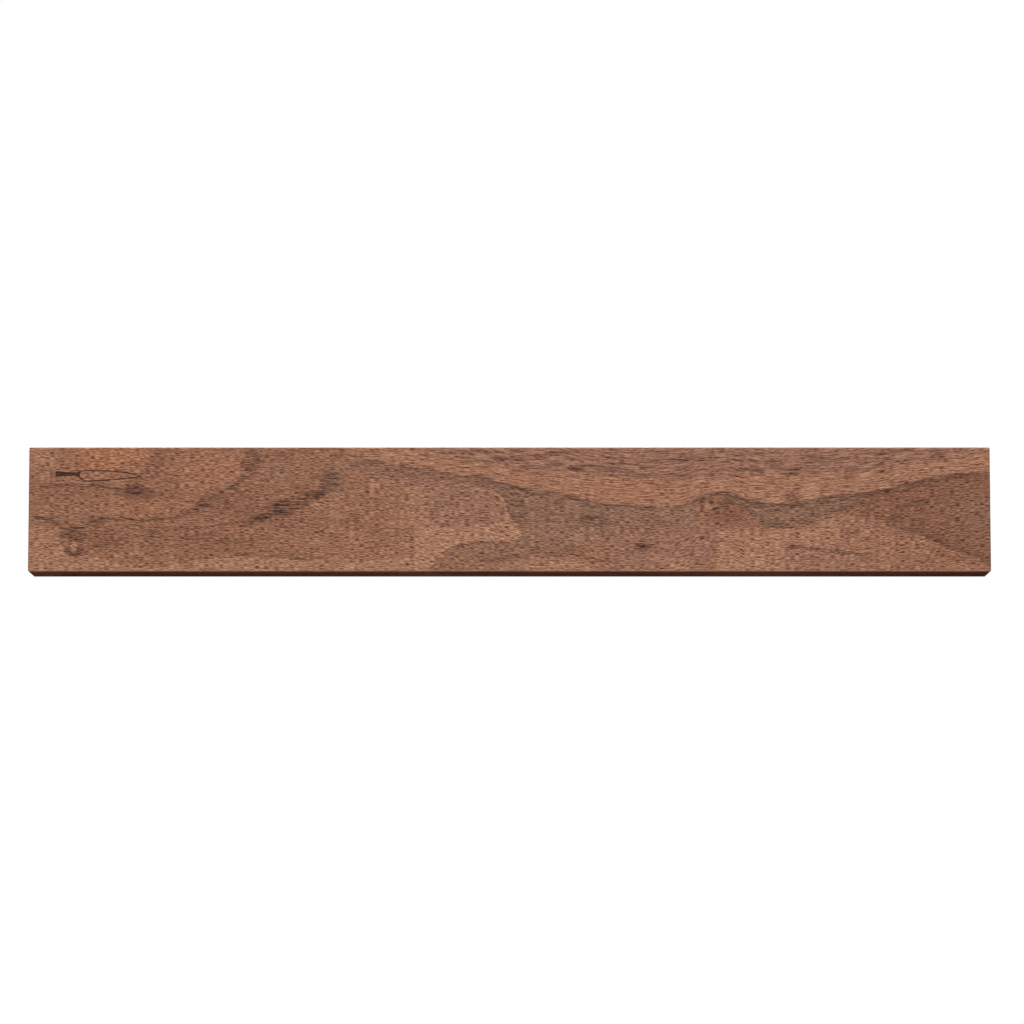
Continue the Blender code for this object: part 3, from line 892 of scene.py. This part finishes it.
print("oiled walnut has", len(w.tree.nodes), "nodes")

# %% Put the walnut on the board
def finish_with(material, names):
    """Gives every slot of the named pieces the material."""
    for name in names:
        for slot in nodes[name].material_slots:
            slot.link = "OBJECT"
            slot.material = material
    print(material.name, "on", len(names), "pieces")


finish_with(walnut, ["walnut_body"])

# %% [markdown]
# ## Rear cover
#
# The cover is walnut too, but a plain straight-grained strip: nobody sees it, and the figured wood goes to
# the front. It comes from the planer and isn't sanded, so fine ripples cross the grain where each knife of
# the planer took its bite. It reuses the grain, fibre and pore groups with calmer numbers.

# %% Rear walnut
PLANER_BITE = 0.0019
PLANED_BROWN = colour(0.215, 0.110, 0.066)
SEASON_BROWN = colour(0.120, 0.055, 0.032)
rear, r, rear_shader, rear_place = start_material("rear_walnut", 0.7, specular=0.2)
straight = {"Front": 0.0, "Slant": 2.2, "Curve": 0.0, "Wander": 0.0009}
rear_space = r.use(grain_space, {"Place": rear_place, **straight})
rear_along = rear_space["Along"]
rear_grain = {"Along": rear_along, "Across": rear_space["Across"], "Depth": rear_space["Depth"]}
season_place = r.join(r.math("MULTIPLY", rear_along, 0.02), 0.0, rear_space["Across"])
season = r.noise(season_place, 420.0, 2.0, 0.55)
rear_tone = r.blend(r.between(season, 0.36, 0.70), PLANED_BROWN, SEASON_BROWN)
rear_short = r.use(wood_fibres, {**rear_grain, "Fibre Length": 0.005, "Fibre Width": 0.0004})["Fibres"]
rear_long = r.use(wood_fibres, {**rear_grain, "Fibre Length": 0.016, "Fibre Width": 0.0004})["Fibres"]
rear_cells = {"Cell Length": 0.006, "Cell Width": 0.0007, "Size": 0.32}
rear_pores = r.use(wood_pores, {**rear_grain, **rear_cells})["Pores"]
rear_tone = lay_fibres(r, rear_tone, rear_short, rear_long, 0.6, rear_pores)
bite = r.math("SINE", r.math("MULTIPLY", r.split(rear_place)["X"], 2 * math.pi / PLANER_BITE))
r.feed(rear_shader["Base Color"], rear_tone)
r.feed(rear_shader["Roughness"], r.between(rear_pores, 0.0, 1.0, 0.66, 0.85))
rear_relief = r.math("SUBTRACT", r.math("MULTIPLY", bite, 0.22), rear_pores)
raise_surface(r, rear_shader, rear_relief, 0.00006)
finish_with(rear, ["rear_cover"])

# %% [markdown]
# ## Metal wear
#
# Bare and plated metal is never one flat grey. Handling leaves fine scratches, mostly one way, and fingers
# and oil leave soft stains. One group gives both masks, and each metal below uses it with its own scales:
# the rolled keeper has long scratches, the tumbled magnets short ones.

# %% Metal wear group
wear_bench, entry, leave = new_group(
    "metal_wear",
    {"Place": (0.0, 0.0, 0.0), "Scratches per Metre": (40.0, 5000.0, 5000.0), "Stain Scale": 120.0},
    ["Scratches", "Stains"],
)
g = wear_bench
scratch_noise = g.noise(g.vector("MULTIPLY", entry["Place"], entry["Scratches per Metre"]), 1.0, 1.0, 0.5)
g.feed(leave["Scratches"], g.between(scratch_noise, 0.60, 0.74))
g.feed(leave["Stains"], g.between(g.noise(entry["Place"], entry["Stain Scale"], 3.0, 0.6), 0.38, 0.68))
metal_wear = wear_bench.tree


# %% Metal helper
# Plating that has been handled is a little dull, so it isn't wholly metallic.
METAL = 0.8


def make_metal(name, clean, stained, rough, scratches, stain_scale, scratch_depth):
    """(material, bench, shader inputs, place, wear, tone) of a metal with scratches and stains.
    rough is (clean, stained) roughness."""
    made, bench, shader, place = start_material(name, rough[0], metallic=METAL)
    inputs = {"Place": place, "Scratches per Metre": scratches, "Stain Scale": stain_scale}
    wear = bench.use(metal_wear, inputs)
    tone = bench.blend(wear["Stains"], clean, stained)
    dull = bench.between(wear["Stains"], 0.0, 1.0, *rough)
    bench.feed(shader["Roughness"], bench.math("MULTIPLY_ADD", wear["Scratches"], 0.12, dull))
    bench.feed(shader["Base Color"], tone)
    raise_surface(bench, shader, bench.math("MULTIPLY", wear["Scratches"], -1.0), scratch_depth)
    return made, bench, shader, place, wear, tone


# %% [markdown]
# ## Magnets, keeper and spacer
#
# The magnets are nickel plated and tumbled, which leaves them bright with short scuffs. The keeper is
# cold-rolled strip: long fine scratches along the rolling and a few darker stains of old oil. The spacer is
# moulded black plastic. Its mould was spark-eroded, so the skin is finely pitted, and small rings on the
# webs show where the ejector pins pushed it out.

# %% Nickel and rolled steel
nickel, *_ = make_metal(
    "nickel_plate",
    colour(0.66, 0.63, 0.57),
    colour(0.52, 0.48, 0.42),
    (0.20, 0.36),
    (900.0, 900.0, 3500.0),
    160.0,
    0.000004,
)
finish_with(nickel, [name for name in nodes if name.startswith(("magnet_upper", "magnet_lower"))])
keeper_steel, *_ = make_metal(
    "bright_steel",
    colour(0.44, 0.44, 0.45),
    colour(0.30, 0.29, 0.28),
    (0.28, 0.46),
    (22.0, 4200.0, 4200.0),
    70.0,
    0.000005,
)
finish_with(keeper_steel, ["keeper_strip"])

# %% Black plastic
WEB_PITCH = 0.0365
EJECTOR_RADIUS = 0.0014
RING_WIDTH = 0.00014
plastic, k, plastic_shader, plastic_place = start_material("black_plastic", 0.5, specular=0.4)
px, py, pz = k.split(plastic_place)[:]
from_web = k.math("WRAP", px, WEB_PITCH / 2, -WEB_PITCH / 2)
from_pin = k.vector("LENGTH", k.join(from_web, 0.0, pz))
off_ring = k.math("ABSOLUTE", k.math("SUBTRACT", from_pin, EJECTOR_RADIUS))
pin_ring = k.between(off_ring, 0.0, RING_WIDTH, 1.0, 0.0)
pitted = k.noise(plastic_place, 5200.0, 2.0, 0.6)
flow_lines = k.noise(k.vector("MULTIPLY", plastic_place, (0.3, 1.0, 1.0)), 90.0, 3.0, 0.6)
PLASTIC_BLACK = colour(0.016, 0.016, 0.018)
FLOW_BLACK = colour(0.030, 0.029, 0.028)
plastic_tone = k.blend(k.between(flow_lines, 0.35, 0.7), PLASTIC_BLACK, FLOW_BLACK)
k.feed(plastic_shader["Base Color"], plastic_tone)
k.feed(plastic_shader["Roughness"], k.between(pitted, 0.3, 0.7, 0.42, 0.62))
skin = k.math("MULTIPLY_ADD", pin_ring, 1.5, k.math("MULTIPLY", pitted, 0.5))
raise_surface(k, plastic_shader, skin, 0.00003)
finish_with(plastic, ["magnet_spacer"])

# %% [markdown]
# ## Keyhole plates
#
# The plates are stamped from galvanised strip. Zinc sets in flat crystals a few millimetres wide, each a
# slightly different grey. Where the wall screw slides up from the round hole into the slot, its head rubs a
# bright band, which lies within a fixed distance of the line from the hole to the top of the slot.

# %% Galvanised plates
PLATE_X = 0.2
ENTRY_Z = -0.0045
SLOT_TOP_Z = 0.0075
CRYSTAL_SCALE = 420.0
zinc, q, zinc_shader, zinc_place, zinc_wear, zinc_tone = make_metal(
    "zinc_steel",
    colour(0.56, 0.57, 0.58),
    colour(0.42, 0.43, 0.44),
    (0.42, 0.56),
    (3600.0, 900.0, 260.0),
    140.0,
    0.000006,
)
crystal = q.add("ShaderNodeTexVoronoi", {"feature": "F1"}, {"Vector": zinc_place, "Scale": CRYSTAL_SCALE})
facet = q.split(crystal.outputs["Color"])["X"]
CRYSTAL_GLINT = colour(0.72, 0.73, 0.74)
RUBBED_ZINC = colour(0.80, 0.79, 0.76)
zinc_tone = q.blend(q.between(facet, 0.0, 1.0, 0.0, 0.45), zinc_tone, CRYSTAL_GLINT)
zx, zy, zz = q.split(zinc_place)[:]
off_line = q.math("SUBTRACT", q.math("ABSOLUTE", zx), PLATE_X)
low_part = q.math("MINIMUM", q.math("SUBTRACT", zz, ENTRY_Z), 0.0)
high_part = q.math("MAXIMUM", q.math("SUBTRACT", zz, SLOT_TOP_Z), 0.0)
off_path = q.vector("LENGTH", q.join(off_line, 0.0, q.math("ADD", low_part, high_part)))
worn_path = q.math("MULTIPLY_ADD", zinc_wear["Stains"], 0.0008, off_path)
polished = q.between(worn_path, 0.0052, 0.0062, 0.8, 0.0)
zinc_tone = q.blend(polished, zinc_tone, RUBBED_ZINC)
q.feed(zinc_shader["Base Color"], zinc_tone)
finish_with(zinc, ["keyhole_plate_left", "keyhole_plate_right"])

# %% [markdown]
# ## Wood screws
#
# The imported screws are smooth, because physics needs no more. A real countersunk wood screw is headed and
# then rolled: a shallow star socket, a thin rim, a 45° cone, a short plain shank and a sharp thread with a
# coarse pitch that runs out into the point. Each is built here as a stack of rings. A thread is the same
# ring over and over, with a crest that turns a little further at each step.

# %% Screw shape
SCREW_SIDES = 36
THREAD_PITCH = 0.0011
RINGS_PER_TURN = 8
CREST_HEIGHT = 0.0005
CORE_INSET = 0.00035
RIM = 0.0003
EASE = 0.0001


def ring(mesh, depth, radius_at):
    """One closed ring of vertices at a depth below the head's face."""
    turns = [2 * math.pi * step / SCREW_SIDES for step in range(SCREW_SIDES)]
    places = [(radius_at(turn), turn) for turn in turns]
    return [mesh.verts.new((far * math.cos(turn), -depth, far * math.sin(turn))) for far, turn in places]


def star(radius):
    """Radius of a six-lobed socket at each turn."""
    return lambda turn: radius * (0.86 + 0.14 * math.cos(6 * turn))


def circle(radius):
    return lambda turn: radius


def thread(depth, start, length, shank):
    """Radius of the threaded part at one depth."""
    from_tip = min(1.0, (length - depth) / (2.6 * shank))
    grown = min(1.0, (depth - start) / THREAD_PITCH)
    core = (shank - CORE_INSET * grown) * from_tip

    def radius(turn):
        phase = ((depth - start) / THREAD_PITCH - turn / (2 * math.pi)) % 1.0
        crest = max(0.0, 1.0 - 3.6 * abs(phase - 0.5))
        return core + CREST_HEIGHT * crest * grown * min(1.0, 1.6 * from_tip)

    return radius


def screw_mesh(name, head, shank, length, drive, drive_depth):
    """A countersunk screw with its head's face at the origin and its tip toward -Y."""
    mesh = bmesh.new()
    cone_end = RIM + head - shank
    start = cone_end + 0.0015
    stack = [
        ring(mesh, drive_depth, star(drive * 0.90)),
        ring(mesh, EASE, star(drive)),
        ring(mesh, 0.0, star(drive + EASE)),
        ring(mesh, 0.0, circle(head - 2 * EASE)),
        ring(mesh, EASE / 2, circle(head - EASE / 2)),
        ring(mesh, RIM / 2, circle(head)),
        ring(mesh, RIM, circle(head)),
        ring(mesh, cone_end - EASE, circle(shank + EASE)),
        ring(mesh, cone_end + 2 * EASE, circle(shank)),
    ]
    steps = int((length - start) / (THREAD_PITCH / RINGS_PER_TURN))
    for step in range(steps):
        depth = start + step * THREAD_PITCH / RINGS_PER_TURN
        stack.append(ring(mesh, depth, thread(depth, start, length, shank)))
    for upper, lower in zip(stack, stack[1:]):
        for one in range(SCREW_SIDES):
            two = (one + 1) % SCREW_SIDES
            mesh.faces.new((upper[one], upper[two], lower[two], lower[one]))
    for end, depth in ((stack[0], drive_depth + EASE), (stack[-1], length)):
        centre = mesh.verts.new((0.0, -depth, 0.0))
        for one in range(SCREW_SIDES):
            mesh.faces.new((end[one], end[(one + 1) % SCREW_SIDES], centre))
    bmesh.ops.recalc_face_normals(mesh, faces=mesh.faces)
    made = bpy.data.meshes.new(name)
    mesh.to_mesh(made)
    mesh.free()
    made.shade_smooth()
    made.set_sharp_from_angle(angle=math.radians(38))
    print(name, len(made.vertices), "vertices,", steps, "thread rings")
    return made


# %% [markdown]
# The screws get a clear zinc finish. The head is turned, so faint rings run round its middle, and painted
# shade darkens the socket. Each screw stops at its own angle, as screws do.

# %% Screw finish
TURNING_STEP = 0.00022
# Colour of the painted shade in the socket.
SOCKET_SHADE = colour(0.06, 0.055, 0.05)
screw_zinc, v, screw_shader, screw_place, screw_wear, screw_tone = make_metal(
    "screw_zinc",
    colour(0.60, 0.60, 0.60),
    colour(0.46, 0.45, 0.40),
    (0.34, 0.50),
    (1500.0, 1500.0, 1500.0),
    420.0,
    0.000005,
)
sx, sy, sz = v.split(screw_place)[:]
from_axis = v.vector("LENGTH", v.join(sx, 0.0, sz))
turned = v.math("SINE", v.math("MULTIPLY", from_axis, 2 * math.pi / TURNING_STEP))
# Painted shade: the sunken middle of the socket is darkened.
sunk = v.between(sy, -0.0001, -0.001)
near_axis = v.between(from_axis, 0.0016, 0.0019, 1.0, 0.0)
socket_shade = v.math("MULTIPLY", v.math("MULTIPLY", sunk, near_axis), 0.75)
v.feed(screw_shader["Base Color"], v.blend(socket_shade, screw_tone, SOCKET_SHADE))
scored = v.math("MULTIPLY", screw_wear["Scratches"], -1.0)
raise_surface(v, screw_shader, v.math("MULTIPLY_ADD", turned, 0.3, scored), 0.000006)
print("screw finish ready")

# %% [markdown]
# Each threaded screw takes the place of one smooth one, with its head at the same spot. The sizes are the
# head's radius, the shank's radius, the length, the socket's radius and the socket's depth, in metres. Each
# screw stops at its own angle, because nobody lines them up.

# %% Threaded screws in place of the smooth ones
SCREW_SIZES = {
    "cover_screw": (0.0034, 0.0015, 0.0145, 0.0017, 0.0014),
    "hanger_screw": (0.0028, 0.0013, 0.0120, 0.0013, 0.0011),
}
STOP_ANGLE = 2.4
for kind, sizes in SCREW_SIZES.items():
    mesh = screw_mesh(kind, *sizes)
    mesh.materials.append(screw_zinc)
    for count, name in enumerate(sorted(node for node in nodes if node.startswith(kind))):
        low, high = (Vector(corner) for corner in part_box(name))
        screw = bpy.data.objects.new("threaded_" + name, mesh)
        screw.location = ((low.x + high.x) / 2, high.y, (low.z + high.z) / 2)
        screw.rotation_euler = (0.0, count * STOP_ANGLE, 0.0)
        bpy.context.scene.collection.objects.link(screw)
        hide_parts(name)
        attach(screw, "root")
print("threaded screws placed")

# %% [markdown]
# ## Room and light
#
# The bar hangs in the air where its wall would be, over a plain pale floor well below it. A big soft
# light stands in front, above the bar, and others fill the top and the back. The floor glows a little so
# that it looks near white, but it takes no part in lighting the bar from below, so the underside stays
# dark as it does on a wall.

# %% Floor
FLOOR_DROP = 0.6
FLOOR_SIZE = 24.0
bpy.ops.mesh.primitive_plane_add(size=FLOOR_SIZE, location=(0.0, 0.0, -FLOOR_DROP))
floor = bpy.context.object
floor.name = "studio_floor"
floor.visible_diffuse = False
floor.visible_glossy = False
pale = bpy.data.materials.new("pale_floor")
pale.use_nodes = True
floor_inputs = pale.node_tree.nodes["Principled BSDF"].inputs
floor_inputs["Base Color"].default_value = colour(0.86, 0.86, 0.85)
floor_inputs["Roughness"].default_value = 0.9
floor_inputs["Emission Color"].default_value = colour(1.0, 1.0, 1.0)
floor_inputs["Emission Strength"].default_value = 0.6
floor.data.materials.append(pale)
print("floor at", -FLOOR_DROP, "m")

# %% [markdown]
# The air is white where the camera looks past the bar. For the light that falls on the bar it is dim and
# warm near the floor and brighter overhead.

# %% World
world = bpy.data.worlds.new("studio_air")
bpy.context.scene.world = world
world.use_nodes = True
air = Bench(world.node_tree)
backdrop = world.node_tree.nodes["Background"]
direction = air.add("ShaderNodeTexCoord").outputs["Generated"]
ambient = air.between(air.split(direction)["Z"], -0.1, 0.8, 0.26, 0.6)
rays = air.add("ShaderNodeLightPath").outputs
seen = rays["Is Camera Ray"]
mirrored = air.between(rays["Is Glossy Ray"], 0.0, 1.0, 1.0, 0.2)
low_air = air.between(air.split(direction)["Z"], -0.1, 0.3)
tint = air.blend(low_air, colour(1.0, 0.67, 0.58), colour(1.0, 1.0, 1.0))
air.feed(backdrop.inputs["Color"], air.blend(seen, tint, colour(1.0, 1.0, 1.0)))
air.feed(backdrop.inputs["Strength"], air.math("MAXIMUM", air.math("MULTIPLY", ambient, mirrored), seen))
print("world ready")

# %% Lights
def soft_light(name, place, target, size, power):
    """A square area light at place, turned to target."""
    lamp = bpy.data.lights.new(name, "AREA")
    lamp.shape = "RECTANGLE"
    lamp.size = size[0]
    lamp.size_y = size[1]
    lamp.energy = power
    stand = bpy.data.objects.new(name, lamp)
    stand.location = place
    stand.rotation_euler = (Vector(target) - stand.location).to_track_quat("-Z", "Y").to_euler()
    bpy.context.scene.collection.objects.link(stand)
    print(name, power, "W")


soft_light("front_light", (0.3, -3.2, 1.1), (0.0, 0.0, 0.0), (2.6, 1.6), 99.0)
soft_light("top_light", (0.0, 0.0, 2.6), (0.0, 0.0, 0.0), (3.0, 3.0), 60.0)
soft_light("back_light", (-0.8, 3.2, 1.4), (0.0, 0.0, 0.0), (2.4, 1.6), 110.0)

# %% [markdown]
# ## Camera
#
# The bar is seen from straight ahead and a little below, through a long lens, so that its underside
# shows as a thin dark strip and its ends stay hidden.

# %% Camera
CAMERA_DISTANCE = 2.32
CAMERA_DIP = math.radians(6.4)
FRAME_WIDTH = 0.5322
aim = Vector((0.0013, front_y, -0.0014))
look = Vector((0.0, math.cos(CAMERA_DIP), math.sin(CAMERA_DIP)))
lens = bpy.data.cameras.new("camera")
lens.sensor_width = 36.0
lens.lens = lens.sensor_width * CAMERA_DISTANCE / FRAME_WIDTH
lens.clip_start = 0.05
camera = bpy.data.objects.new("camera", lens)
camera.location = aim - look * CAMERA_DISTANCE
camera.rotation_euler = look.to_track_quat("-Z", "Y").to_euler()
bpy.context.scene.collection.objects.link(camera)
bpy.context.scene.camera = camera
bpy.context.scene.view_settings.view_transform = "Standard"
print("lens", round(lens.lens, 1), "mm")
